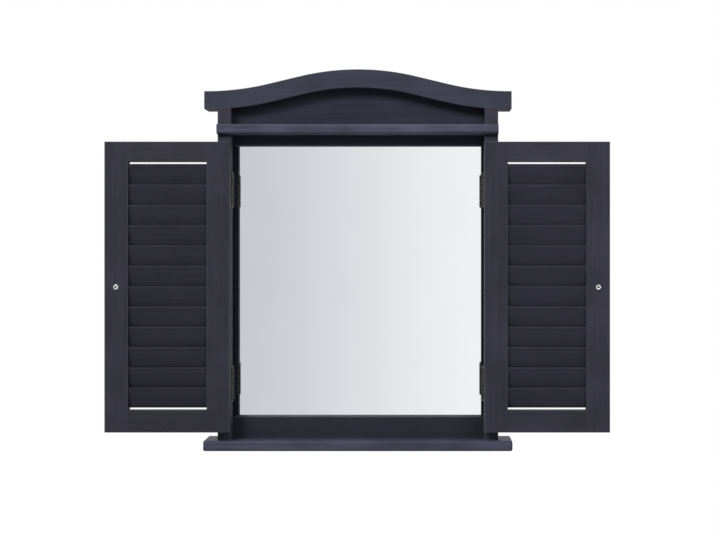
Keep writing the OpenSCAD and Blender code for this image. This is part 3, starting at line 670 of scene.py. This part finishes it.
for node in ("left_stile", "right_stile"):
    dress_board(node, Z_AXIS, paint_upright)
for node in ("left_bead", "right_bead"):
    dress_board(node, Z_AXIS, paint_beads, width=BEAD_ARRIS)
for node, paint in (
        ("bottom_rail", paint_rail), ("crown_panel", paint_panel), ("crown_ledge", paint_ledge)):
    dress_board(node, X_AXIS, paint)
for side in ("left", "right"):
    for name in ("outer_stile", "hinge_stile"):
        dress_board(f"{side}_{name}", Z_AXIS, paint_upright, longest_only=False,
                    rails=(f"{side}_bottom_rail", f"{side}_top_rail"))
    for name in ("top_rail", "bottom_rail"):
        dress_board(f"{side}_{name}", X_AXIS, paint_level)

# %% [markdown]
# ## The sill
# The sill is moulded all round, so it already has its rounded nose in CAD. It needs no more easing,
# only joined faces and smooth shading.

# %% Dress the sill
stand_in(settle(joined_copy("sill"), "sill_board", [paint_sill]), "painted_wood", "sill")

# %% [markdown]
# ## The crown band
# The band over the crown follows a rule: a convex arc in the middle, a short straight, a hollow
# sweep, and a level tip on each side. Geometry Nodes draw that line from the rule and sweep the
# band's section along it. The section is a rectangle with small rounded corners, so its long
# arrises come out eased. The sizes are named inputs, so the same tree bends any such band.

# %% Tools for geometry trees
def new_geometry_tree(name, inputs):
    """A geometry tree with named inputs, given as name: (socket type, value)."""
    tree = bpy.data.node_groups.new(name, "GeometryNodeTree")
    tree.is_modifier = True
    tree.interface.new_socket(name="Geometry", in_out="INPUT", socket_type="NodeSocketGeometry")
    for label, (kind, value) in inputs.items():
        socket = tree.interface.new_socket(name=label, in_out="INPUT", socket_type=kind)
        if value is not None:
            socket.default_value = value
    tree.interface.new_socket(name="Geometry", in_out="OUTPUT", socket_type="NodeSocketGeometry")
    return tree, add_node(tree, "NodeGroupInput").outputs


def run_tree(name, tree, values, points=()):
    """Runs a geometry tree on a mesh of points and gives the result as a plain mesh."""
    mesh = bpy.data.meshes.new(name + "_points")
    mesh.from_pydata([place for place, aim in points], [], [])
    if points:
        aims = mesh.attributes.new("aim", "FLOAT_VECTOR", "POINT")
        for i, (place, aim) in enumerate(points):
            aims.data[i].vector = aim
    carrier = bpy.data.objects.new(name + "_points", mesh)
    bpy.context.collection.objects.link(carrier)
    modifier = carrier.modifiers.new(name, "NODES")
    modifier.node_group = tree
    for socket in tree.interface.items_tree:
        if socket.in_out == "INPUT" and socket.name in values:
            modifier[socket.identifier] = values[socket.name]
    result = plain_mesh(carrier).data
    bpy.data.objects.remove(carrier)
    result.name = name
    return result


def finish_tree(tree, shape, material):
    """Ends a tree: the instances are made real, and all of it takes one material."""
    real = add_node(tree, "GeometryNodeRealizeInstances", inputs={0: shape}).outputs[0]
    dressed = add_node(tree, "GeometryNodeSetMaterial", inputs={"Geometry": real, "Material": material})
    add_node(tree, "NodeGroupOutput", inputs={0: dressed.outputs[0]})


LENGTH = ANGLE = TONE = "NodeSocketFloat"
WHOLE, PLACE, MATERIAL = "NodeSocketInt", "NodeSocketVector", "NodeSocketMaterial"
print("a tree's inputs are lengths, whole numbers, places and materials")

# %% Begin the crown band
# The rule's own sizes: the level tip, the band's thickness, its rise, the middle's radius and the
# length of the straight
band_tip, band_thick, band_rise, band_r, band_straight = 0.003, 0.025, 0.030, 0.340, 0.046
arch_low, arch_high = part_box("crown_arch")
band_side, band_depth, crown_z = arch_high.x, arch_high.y - arch_low.y, arch_high.z
sweep_x = band_side - band_tip
radii_sum = (sweep_x ** 2 + band_rise ** 2 - band_straight ** 2) / (2 * band_rise)
sweep_r = radii_sum - band_r
slope = math.atan2(sweep_x, radii_sum - band_rise) - math.atan2(band_straight, radii_sum)

tree, given = new_geometry_tree("crown_band", {
    "Half width": (LENGTH, band_side), "Sweep centre": (LENGTH, sweep_x),
    "Middle radius": (LENGTH, band_r), "Sweep radius": (LENGTH, sweep_r),
    "Slope": (ANGLE, slope), "Top": (LENGTH, crown_z), "Rise": (LENGTH, band_rise),
    "Thickness": (LENGTH, band_thick), "Depth": (LENGTH, band_depth),
    "Arris": (LENGTH, ARRIS), "Points": (WHOLE, 241), "Paint": (MATERIAL, None)})
print(f"sweeps of {sweep_r * 1000:.1f} mm radius, straights falling at {math.degrees(slope):.1f} degrees")

# %% Bend the band's line
left_x = add_node(tree, "ShaderNodeMath", {"operation": "MULTIPLY"}, {0: given["Half width"], 1: -1.0})
left_end = add_node(tree, "ShaderNodeCombineXYZ", inputs={"X": left_x.outputs[0]}).outputs[0]
right_end = add_node(tree, "ShaderNodeCombineXYZ", inputs={"X": given["Half width"]}).outputs[0]
line = add_node(tree, "GeometryNodeMeshLine", {"mode": "END_POINTS"}, {
    "Count": given["Points"], "Start Location": left_end, "Offset": right_end}).outputs[0]
here = add_node(tree, "GeometryNodeInputPosition").outputs[0]
across = add_node(tree, "ShaderNodeSeparateXYZ", inputs={0: here}).outputs["X"]

# The rule, sum by sum: what each value is called, how it is worked out, and what goes into it
known = {socket.name: socket for socket in given}
known["x"] = across
for name, operation, *terms in (
        ("out", "ABSOLUTE", "x"),
        ("middle centre z", "SUBTRACT", "Top", "Middle radius"),
        ("sine", "SINE", "Slope"),
        ("cosine", "COSINE", "Slope"),
        ("tangent", "TANGENT", "Slope"),
        ("bend x", "MULTIPLY", "Middle radius", "sine"),
        ("bend height", "MULTIPLY", "Middle radius", "cosine"),
        ("bend z", "ADD", "middle centre z", "bend height"),
        ("sweep reach", "MULTIPLY", "Sweep radius", "sine"),
        ("hollow x", "SUBTRACT", "Sweep centre", "sweep reach"),
        ("level z", "SUBTRACT", "Top", "Rise"),
        ("sweep centre z", "ADD", "level z", "Sweep radius"),
        # the convex middle
        ("middle squared", "MULTIPLY", "Middle radius", "Middle radius"),
        ("out squared", "MULTIPLY", "out", "out"),
        ("height squared", "SUBTRACT", "middle squared", "out squared"),
        ("height squared", "MAXIMUM", "height squared", 0.0),
        ("height", "SQRT", "height squared"),
        ("middle z", "ADD", "middle centre z", "height"),
        # the straight
        ("past the bend", "SUBTRACT", "out", "bend x"),
        ("fall", "MULTIPLY", "past the bend", "tangent"),
        ("straight z", "SUBTRACT", "bend z", "fall"),
        # the hollow sweep
        ("before centre", "SUBTRACT", "Sweep centre", "out"),
        ("sweep squared", "MULTIPLY", "Sweep radius", "Sweep radius"),
        ("before squared", "MULTIPLY", "before centre", "before centre"),
        ("depth squared", "SUBTRACT", "sweep squared", "before squared"),
        ("depth squared", "MAXIMUM", "depth squared", 0.0),
        ("depth", "SQRT", "depth squared"),
        ("hollow z", "SUBTRACT", "sweep centre z", "depth")):
    known[name] = add_node(tree, "ShaderNodeMath", {"operation": operation}, {
        i: known.get(term, term) for i, term in enumerate(terms)}).outputs[0]

# From the middle outwards, each stretch takes over where the one before it ends
height = known["middle z"]
for begins, stretch in (("bend x", "straight z"), ("hollow x", "hollow z"), ("Sweep centre", "level z")):
    past = add_node(tree, "ShaderNodeMath", {"operation": "GREATER_THAN"}, {
        0: known["out"], 1: known[begins]}).outputs[0]
    height = add_node(tree, "GeometryNodeSwitch", {"input_type": "FLOAT"}, {
        "Switch": past, "False": height, "True": known[stretch]}).outputs[0]
on_line = add_node(tree, "ShaderNodeCombineXYZ", inputs={"X": across, "Z": height}).outputs[0]
bent = add_node(tree, "GeometryNodeSetPosition", inputs={"Geometry": line, "Position": on_line}).outputs[0]
curve = add_node(tree, "GeometryNodeMeshToCurve", inputs={0: bent}).outputs[0]
curve = add_node(tree, "GeometryNodeSetCurveNormal", {"mode": "Z_UP"}, {"Curve": curve}).outputs[0]
print("the band's line takes", len(tree.nodes), "nodes")

# %% Sweep the band along its line
section = add_node(tree, "GeometryNodeCurvePrimitiveQuadrilateral", inputs={
    "Width": given["Depth"], "Height": given["Thickness"]}).outputs[0]
section = add_node(tree, "GeometryNodeFilletCurve", {"mode": "POLY"}, {
    "Curve": section, "Count": 3, "Radius": given["Arris"]}).outputs[0]
halves = [add_node(tree, "ShaderNodeMath", {"operation": "MULTIPLY"}, {0: given[size], 1: 0.5}).outputs[0]
          for size in ("Depth", "Thickness")]
half_section = add_node(tree, "ShaderNodeCombineXYZ", inputs={"X": halves[0], "Y": halves[1]}).outputs[0]
section = add_node(tree, "GeometryNodeTransform", inputs={
    "Geometry": section, "Translation": half_section}).outputs[0]
band = add_node(tree, "GeometryNodeCurveToMesh", inputs={
    "Curve": curve, "Profile Curve": section, "Fill Caps": True}).outputs[0]
finish_tree(tree, band, given["Paint"])

band_mesh = run_tree("crown_band_line", tree, {"Paint": paint_crown})
print("swept", len(band_mesh.polygons), "faces")

# %% Ease the band's tips
# A long arris's face points this much of the way to the front or the back
ROUND_FROM, ROUND_TO = 0.15, 0.98
made = bmesh.new()
made.from_mesh(band_mesh)
bmesh.ops.remove_doubles(made, verts=made.verts, dist=MERGE)
rub_and_highlight = rub_and_highlight_layer(made)
# The band's rounded long arrises are marked for paler paint: partly paint thinned by sanding, partly a
# painted highlight
for face in made.faces:
    if ROUND_FROM < abs(face.normal.y) < ROUND_TO:
        face[rub_and_highlight] = 1.0
tips = [e for e in made.edges if is_arris(e, 0.0)
        and all(abs(abs(v.co.x) - band_side) < MERGE for v in e.verts)]
ease(made, tips, ARRIS)
stand_in(settle(made, "crown_band", [paint_crown]), "painted_wood", "crown_arch")

# %% [markdown]
# ## The louvres
# Each shutter holds twelve fixed slats with rounded edges, all alike and evenly spaced, so one
# geometry tree makes one slat and repeats it down a line. The section is a rectangle whose corners
# are rounded until both edges are half round. Each copy gets its own small random shift of tone,
# because no two pieces of wood take paint alike, and the right shutter's slats are set a touch
# paler. Folded open, a slat's upper edge leans towards the room.

# %% Build the louvres
SLAT_WIDTH = 0.0296
SLAT_THICK = 0.004
SLAT_LEAN = math.radians(17)
TONE_SPREAD = 0.16
# The corners' radius as a share of the thickness: just short of half, so that no edge shrinks to nothing
HALF_ROUND = 0.495

tree, given = new_geometry_tree("louvre", {
    "Slats": (WHOLE, 12), "First": (PLACE, None), "Pitch": (LENGTH, 0.0275),
    "Length": (LENGTH, 0.1157), "Width": (LENGTH, SLAT_WIDTH), "Thickness": (LENGTH, SLAT_THICK),
    "Lean": (ANGLE, SLAT_LEAN), "Tone": (TONE, 0.0), "Tone spread": (TONE, TONE_SPREAD),
    "Seed": (WHOLE, 5), "Paint": (MATERIAL, None)})
section = add_node(tree, "GeometryNodeCurvePrimitiveQuadrilateral", inputs={
    "Width": given["Width"], "Height": given["Thickness"]}).outputs[0]
corner = add_node(tree, "ShaderNodeMath", {"operation": "MULTIPLY"}, {0: given["Thickness"], 1: HALF_ROUND})
section = add_node(tree, "GeometryNodeFilletCurve", {"mode": "POLY"}, {
    "Curve": section, "Count": 7, "Radius": corner.outputs[0]}).outputs[0]
line_end = add_node(tree, "ShaderNodeCombineXYZ", inputs={"Z": given["Length"]}).outputs[0]
line = add_node(tree, "GeometryNodeCurvePrimitiveLine", inputs={"End": line_end}).outputs[0]
slat = add_node(tree, "GeometryNodeCurveToMesh", inputs={
    "Curve": line, "Profile Curve": section, "Fill Caps": True}).outputs[0]
half_back = add_node(tree, "ShaderNodeMath", {"operation": "MULTIPLY"}, {0: given["Length"], 1: -0.5})
centred = add_node(tree, "ShaderNodeCombineXYZ", inputs={"Z": half_back.outputs[0]}).outputs[0]
slat = add_node(tree, "GeometryNodeTransform", inputs={"Geometry": slat, "Translation": centred}).outputs[0]
slat = add_node(tree, "GeometryNodeTransform", inputs={
    "Geometry": slat, "Rotation": (0, math.pi / 2, 0)}).outputs[0]
leaning = add_node(tree, "ShaderNodeCombineXYZ", inputs={"X": given["Lean"]}).outputs[0]
slat = add_node(tree, "GeometryNodeTransform", inputs={"Geometry": slat, "Rotation": leaning}).outputs[0]
down = add_node(tree, "ShaderNodeMath", {"operation": "MULTIPLY"}, {0: given["Pitch"], 1: -1.0})
step = add_node(tree, "ShaderNodeCombineXYZ", inputs={"Z": down.outputs[0]}).outputs[0]
places = add_node(tree, "GeometryNodeMeshLine", {"mode": "OFFSET"}, {
    "Count": given["Slats"], "Start Location": given["First"], "Offset": step}).outputs[0]
slats = add_node(tree, "GeometryNodeInstanceOnPoints", inputs={"Points": places, "Instance": slat}).outputs[0]
darkest, palest = [add_node(tree, "ShaderNodeMath", {"operation": operation}, {
    0: given["Tone"], 1: given["Tone spread"]}).outputs[0] for operation in ("SUBTRACT", "ADD")]
tones = add_node(tree, "FunctionNodeRandomValue", {"data_type": "FLOAT"}, {
    2: darkest, 3: palest, "Seed": given["Seed"]}).outputs[1]
slats = add_node(tree, "GeometryNodeStoreNamedAttribute", {"data_type": "FLOAT", "domain": "INSTANCE"}, {
    "Geometry": slats, "Name": "piece_tone", "Value": tones}).outputs[0]
finish_tree(tree, slats, given["Paint"])

for side, seed, tone in (("left", 5, 0.0), ("right", 8, 0.3)):
    names = [name for name in bodies[f"{side}_shutter"] if "_slat_" in name]
    boxes = [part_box(name) for name in sorted(names)]
    centres = [(low + high) / 2 for low, high in boxes]
    pitch = (centres[0].z - centres[-1].z) / (len(centres) - 1)
    louvre = run_tree(f"{side}_louvre", tree, {
        "Slats": len(names), "First": centres[0], "Pitch": pitch,
        "Length": boxes[0][1].x - boxes[0][0].x, "Tone": tone, "Seed": seed, "Paint": paint_slats})
    louvre = flatten_normals(f"{side}_louvre", louvre)
    stand_in(louvre, "painted_wood", *sorted(names))
    print(f"{side}: {len(names)} slats, {pitch * 1000:.2f} mm apart")

# %% [markdown]
# ## The hinges
# Four small butt hinges carry the shutters. Each has two stamped leaves, five knuckles and a pin
# with riveted ends. The CAD solids have the right form, so copies of them only lose their knife
# edges: the long edges of the leaves are dulled as stamping leaves them, and the pin's ends are
# domed by a wide bevel on their rims.

# %% Dress the hinges
LEAF_ARRIS, SHORTEST_LEAF_EDGE = 0.0002, 0.006
PIN_DOME = 0.0004

for node in ("left_case_leaves", "right_case_leaves", "left_shutter_leaves", "right_shutter_leaves"):
    made = joined_copy(node)
    ease_all(made, LEAF_ARRIS, 2, SHORTEST_LEAF_EDGE)
    stand_in(settle(made, node.replace("leaves", "hinge_leaves"), [bronze]), "bronze", node)
for side in ("left", "right"):
    node = f"{side}_hinge_pins"
    made = joined_copy(node)
    ease_all(made, PIN_DOME)
    stand_in(settle(made, f"{side}_riveted_pins", [bronze]), "bronze", node)

# %% [markdown]
# ## The small screws
# Every hinge leaf and hanger plate is held by two countersunk screws with a cross recess. They are
# all one screw, repeated, so a geometry tree makes it: a cone and a shank, less a cross made of two
# small blocks. The points that carry the copies come from the CAD screws, and each point holds the
# direction its screw points in. The screws of one body become one mesh.

# %% Find where the screws sit
def islands(node):
    """The lowest corner, the highest corner and all corners of each separate solid in a CAD node.

    The solids come sorted by their lowest corners, so that every run lists them alike."""
    made = joined_copy(node)
    left, found = set(made.verts), []
    while left:
        group, grow = set(), [left.pop()]
        while grow:
            vert = grow.pop()
            group.add(vert)
            for edge in vert.link_edges:
                other = edge.other_vert(vert)
                if other in left:
                    left.remove(other)
                    grow.append(other)
        places = [v.co for v in group]
        found.append((Vector(min(p[i] for p in places) for i in range(3)),
                      Vector(max(p[i] for p in places) for i in range(3)),
                      [p.copy() for p in places]))
    made.free()
    return sorted(found, key=lambda solid: [round(c / TOUCHING) for c in solid[0]])


def head_and_aim(low, high, places):
    """Where a screw's head is, and the way its shank points, from its widest end."""
    axis = max(range(3), key=lambda i: (high - low)[i])
    middle = (low + high) / 2
    others = [i for i in range(3) if i != axis]
    widest = max(places, key=lambda p: max(abs(p[i] - middle[i]) for i in others))
    at_high = widest[axis] > middle[axis]
    head = middle.copy()
    head[axis] = high[axis] if at_high else low[axis]
    aim = Vector((0, 0, 0))
    aim[axis] = -1.0 if at_high else 1.0
    return head, aim


for node in ("case_leaf_screws", "hanger_screws", "left_leaf_screws"):
    head, aim = head_and_aim(*islands(node)[0])
    print(f"{node}: {len(islands(node))}, first at", [round(1000 * c, 1) for c in head], "aims", list(aim))

# %% Build the screws
HEAD_HEIGHT = 0.0012


def aimed_copies(tree, points, shape):
    """A copy of the shape on every point, turned the way that point aims."""
    aim = add_node(tree, "GeometryNodeInputNamedAttribute", {"data_type": "FLOAT_VECTOR"}, {
        "Name": "aim"}).outputs[0]
    turn = add_node(tree, "FunctionNodeAlignRotationToVector", {"axis": "Z"}, {"Vector": aim}).outputs[0]
    return add_node(tree, "GeometryNodeInstanceOnPoints", inputs={
        "Points": points, "Instance": shape, "Rotation": turn}).outputs[0]


tree, given = new_geometry_tree("countersunk_screws", {
    "Head radius": (LENGTH, 0.0024), "Head height": (LENGTH, HEAD_HEIGHT), "Shank radius": (LENGTH, 0.0012),
    "Shank length": (LENGTH, 0.011), "Cross width": (LENGTH, 0.0007), "Cross span": (LENGTH, 0.0024),
    "Cross depth": (LENGTH, 0.0006), "Metal": (MATERIAL, None)})
head = add_node(tree, "GeometryNodeMeshCone", inputs={
    "Vertices": 40, "Radius Top": given["Shank radius"], "Radius Bottom": given["Head radius"],
    "Depth": given["Head height"]}).outputs[0]
block_height = add_node(tree, "ShaderNodeMath", {"operation": "MULTIPLY"}, {0: given["Cross depth"], 1: 2.0})
blocks = []
for long_side, short_side in (("X", "Y"), ("Y", "X")):
    size = add_node(tree, "ShaderNodeCombineXYZ", inputs={
        long_side: given["Cross span"], short_side: given["Cross width"],
        "Z": block_height.outputs[0]}).outputs[0]
    blocks.append(add_node(tree, "GeometryNodeMeshCube", inputs={"Size": size}).outputs[0])
cut = add_node(tree, "GeometryNodeMeshBoolean", {"operation": "DIFFERENCE", "solver": "EXACT"}, {
    "Mesh 1": head})
for block in blocks:
    tree.links.new(block, cut.inputs["Mesh 2"])
shank = add_node(tree, "GeometryNodeMeshCylinder", inputs={
    "Vertices": 24, "Radius": given["Shank radius"], "Depth": given["Shank length"]}).outputs[0]
half_shank = add_node(tree, "ShaderNodeMath", {"operation": "MULTIPLY"}, {0: given["Shank length"], 1: 0.5})
shank_z = add_node(tree, "ShaderNodeMath", {"operation": "ADD"}, {
    0: given["Head height"], 1: half_shank.outputs[0]})
shank_place = add_node(tree, "ShaderNodeCombineXYZ", inputs={"Z": shank_z.outputs[0]}).outputs[0]
shank = add_node(tree, "GeometryNodeTransform", inputs={
    "Geometry": shank, "Translation": shank_place}).outputs[0]
screw = add_node(tree, "GeometryNodeJoinGeometry", inputs={0: cut.outputs[0]})
tree.links.new(shank, screw.inputs[0])
finish_tree(tree, aimed_copies(tree, given["Geometry"], screw.outputs[0]), given["Metal"])

for node, metal, slot in (
        ("case_leaf_screws", bronze, "bronze"), ("left_leaf_screws", bronze, "bronze"),
        ("right_leaf_screws", bronze, "bronze"), ("hanger_screws", zinc, "zinc_steel")):
    solids = islands(node)
    spots = [head_and_aim(*solid) for solid in solids]
    length = max(solids[0][1] - solids[0][0])
    mesh = run_tree(node + "_set", tree, {"Shank length": length - HEAD_HEIGHT, "Metal": metal}, spots)
    stand_in(flatten_normals(node + "_set", mesh), slot, node)

# %% [markdown]
# ## Dowels and brads
# The frame is pinned with fluted beech dowels, whose grooves let glue and air escape, and brads
# driven into the stiles hold the glass from behind. Both are rods repeated along the joints, so one
# tree makes them: a star-shaped section gives the dowel its flutes, and the same star with
# shallow points gives a drawn nail.

# %% Build the dowels and brads
tree, given = new_geometry_tree("fluted_rods", {
    "Flutes": (WHOLE, 18), "Radius": (LENGTH, 0.003), "Root radius": (LENGTH, 0.0028),
    "Length": (LENGTH, 0.024), "Material": (MATERIAL, None)})
section = add_node(tree, "GeometryNodeCurveStar", inputs={
    "Points": given["Flutes"], "Inner Radius": given["Root radius"],
    "Outer Radius": given["Radius"]}).outputs[0]
ends = []
for share in (-0.5, 0.5):
    end_z = add_node(tree, "ShaderNodeMath", {"operation": "MULTIPLY"}, {0: given["Length"], 1: share})
    ends.append(add_node(tree, "ShaderNodeCombineXYZ", inputs={"Z": end_z.outputs[0]}).outputs[0])
line = add_node(tree, "GeometryNodeCurvePrimitiveLine", inputs={"Start": ends[0], "End": ends[1]}).outputs[0]
rod = add_node(tree, "GeometryNodeCurveToMesh", inputs={
    "Curve": line, "Profile Curve": section, "Fill Caps": True}).outputs[0]
finish_tree(tree, aimed_copies(tree, given["Geometry"], rod), given["Material"])

for node, flutes, groove, material, slot in (
        ("case_dowels", 18, 0.94, beech, "beech"), ("backing_brads", 10, 0.97, zinc, "zinc_steel")):
    solids = islands(node)
    spots = []
    for low, high, places in solids:
        axis = max(range(3), key=lambda i: (high - low)[i])
        spots.append(((low + high) / 2, Vector(float(i == axis) for i in range(3))))
    length = max(solids[0][1] - solids[0][0])
    radius = min(solids[0][1] - solids[0][0]) / 2
    mesh = run_tree(node + "_set", tree, {
        "Flutes": flutes, "Radius": radius, "Root radius": groove * radius,
        "Length": length, "Material": material}, spots)
    stand_in(flatten_normals(node + "_set", mesh), slot, node)

# %% [markdown]
# ## Knobs and their screws
# The knobs are turned wood with a foot, a waist and a cushion-shaped head, painted with the
# shutters. They face the wall while the shutters lie open. What shows on the inner faces is the
# bright pan head of the screw that holds each knob. Its rim is rounded by a wide bevel, and the
# walls of its cross are found by their place, so that shade can be painted on them, near black.

# %% Dress the knobs
KNOB_ARRIS = 0.0003
PAN_ARRIS = 0.0002
# The walls of the cross lie between these depths under the head's top, and this near its axis
CROSS_TOP, CROSS_FLOOR, CROSS_REACH = 0.0003, 0.0018, 0.0025

for side in ("left", "right"):
    made = joined_copy(f"{side}_knob")
    ease_all(made, KNOB_ARRIS, 2)
    stand_in(settle(made, f"{side}_turned_knob", [paint_level]), "painted_wood", f"{side}_knob")
    made = joined_copy(f"{side}_knob_screw")
    ease_all(made, PAN_ARRIS, 2)
    low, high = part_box(f"{side}_knob_screw")
    for face in made.faces:
        middle = face.calc_center_median()
        from_axis = math.hypot(middle.x - (low.x + high.x) / 2, middle.z - (low.z + high.z) / 2)
        in_cross = CROSS_TOP < middle.y - low.y < CROSS_FLOOR and from_axis < CROSS_REACH
        # The walls of the cross take the painted shade
        face.material_index = 1 if in_cross else 0
    print(f"{side}: {sum(face.material_index for face in made.faces)} faces in the cross")
    stand_in(settle(made, f"{side}_pan_screw", [bright_nickel, grime]), "zinc_steel", f"{side}_knob_screw")

# %% [markdown]
# ## The mirror and its backing
# The pane is one solid with three finishes, chosen by the way each face looks: silver to the
# front, grey lacquer to the back, and a ground green edge all round. Its arrises are taken off by
# half a millimetre, as a glazier does so that nobody is cut.

# %% Dress the glass, the backing and the hangers
GLASS_ARRIS = 0.0005
BACK_ARRIS = 0.0004

made = joined_copy("mirror_glass")
ease_all(made, GLASS_ARRIS, 1)
for face in made.faces:
    face.material_index = 0 if face.normal.y < -0.9 else 2 if face.normal.y > 0.9 else 1
stand_in(settle(made, "mirror_pane", [silvered, cut_edge, lacquer]), "mirror_glass", "mirror_glass")

made = joined_copy("backing_board")
ease_all(made, BACK_ARRIS, 1)
stand_in(settle(made, "hardboard_back", [hardboard]), "hardboard", "backing_board")

stand_in(settle(joined_copy("hanger_plates"), "keyhole_plates", [zinc]), "zinc_steel", "hanger_plates")

# %% [markdown]
# ## Compare the size
# The dressed model may not outgrow the CAD box. The corners of both boxes are compared, and how far each has
# moved is printed.

# %% Compare the sizes
new_low, new_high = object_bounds()
for name, cad, new in (("low", cad_low, new_low), ("high", cad_high, new_high)):
    print(f"{name} corner moved by", [round(1000 * (b - a), 3) for a, b in zip(cad, new)], "mm")
